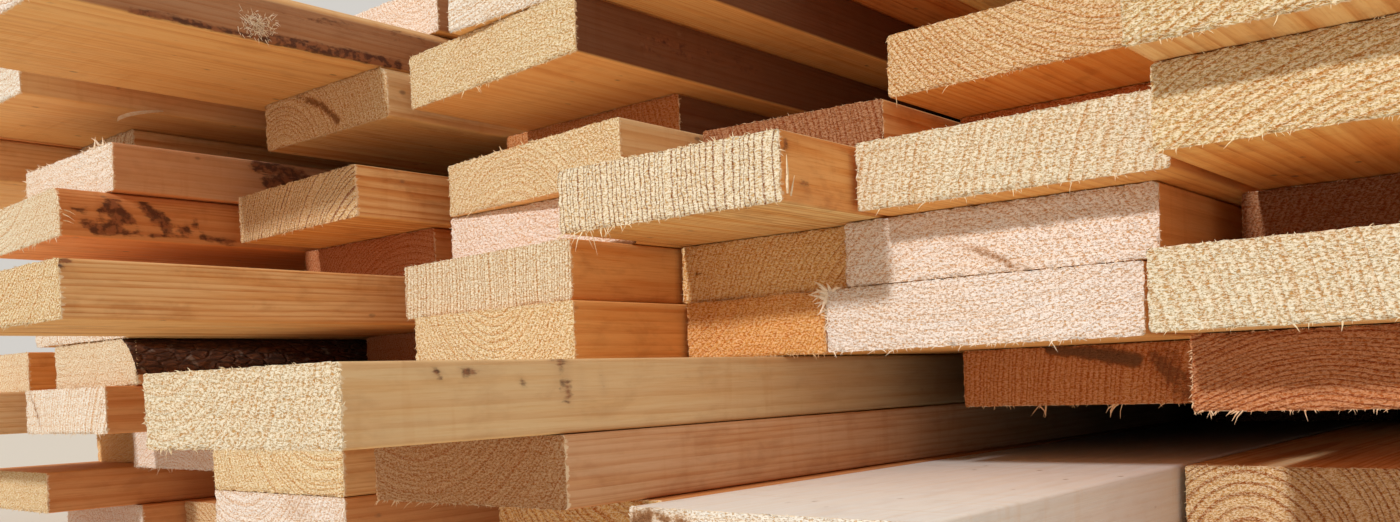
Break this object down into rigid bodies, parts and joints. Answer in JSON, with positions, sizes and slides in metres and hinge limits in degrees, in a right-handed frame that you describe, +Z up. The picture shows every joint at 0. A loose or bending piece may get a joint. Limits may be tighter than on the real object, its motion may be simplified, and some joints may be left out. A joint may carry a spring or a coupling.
{
  "type": "stack of lumber",
  "caption": "Dead-stacked pile of sawn softwood boards in layers, with staggered front ends and a few bark edges.",
  "frame": {"origin": "middle of the pile's outline on the floor, at the underside of the lowest boards", "axes": "+Z up, +Y along the boards from the front ends to the back ends, +X to the right when facing the front ends"},
  "size_m": [1.366, 4.083, 0.456],
  "materials": {
    "sawn_wood": "rough sawn"
  },
  "bodies": {
    "root": {"layer_01": "sawn_wood", "layer_02": "sawn_wood", "layer_03": "sawn_wood", "layer_04": "sawn_wood", "layer_05": "sawn_wood", "layer_06": "sawn_wood", "layer_07": "sawn_wood", "layer_08": "sawn_wood", "layer_09": "sawn_wood", "layer_10": "sawn_wood", "layer_11": "sawn_wood", "layer_12": "sawn_wood"}
  },
  "joints": []
}
